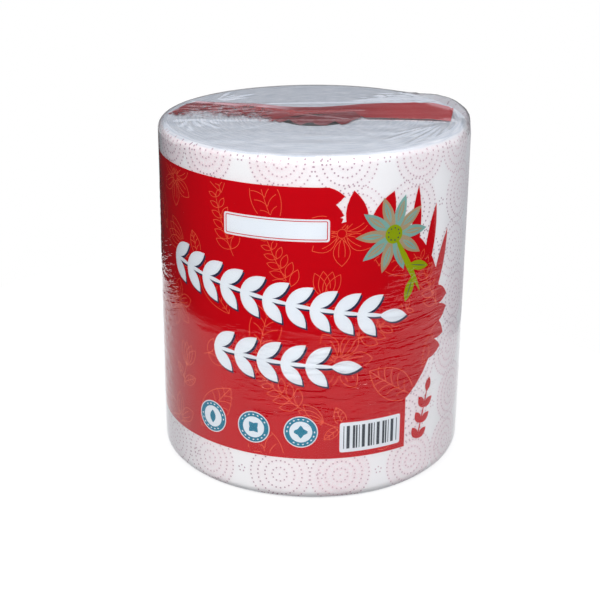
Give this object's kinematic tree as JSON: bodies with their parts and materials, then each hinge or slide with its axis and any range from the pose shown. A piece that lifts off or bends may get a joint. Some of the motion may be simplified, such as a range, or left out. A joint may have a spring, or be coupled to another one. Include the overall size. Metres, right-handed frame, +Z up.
{
  "type": "paper towel roll",
  "caption": "Wide roll of paper towel on a cardboard core, shrink-wrapped in clear film with a red printed front and a folded film flap across its top.",
  "frame": {"origin": "centre of the base, where the wrapped roll stands", "axes": "+Z up along the roll's axis, -Y out of the middle of the printed front, the film's seam at +Y"},
  "size_m": [0.2009, 0.2014, 0.2262],
  "materials": {
    "paper": "soft two-ply tissue, embossed and dotted with pink and grey",
    "cardboard": "plain spiral-wound board",
    "film": "clear shrink film, glossy, with fine wrinkles",
    "red_print": "red ink under glossy film",
    "white_print": "white ink under glossy film",
    "navy_print": "navy ink under glossy film",
    "teal_print": "teal ink under glossy film",
    "dark_print": "near-black ink under glossy film",
    "green_print": "leaf-green ink under glossy film",
    "aqua_print": "aqua ink under glossy film",
    "tan_print": "tan ink under glossy film"
  },
  "bodies": {
    "root": {"paper_roll": "paper", "core_tube": "cardboard", "film_wrap": "film", "red_ink": "red_print", "flap_ink": "red_print", "white_ink": "white_print", "navy_ink": "navy_print", "teal_ink": "teal_print", "dark_ink": "dark_print", "green_ink": "green_print", "aqua_ink": "aqua_print", "tan_ink": "tan_print"}
  },
  "joints": []
}
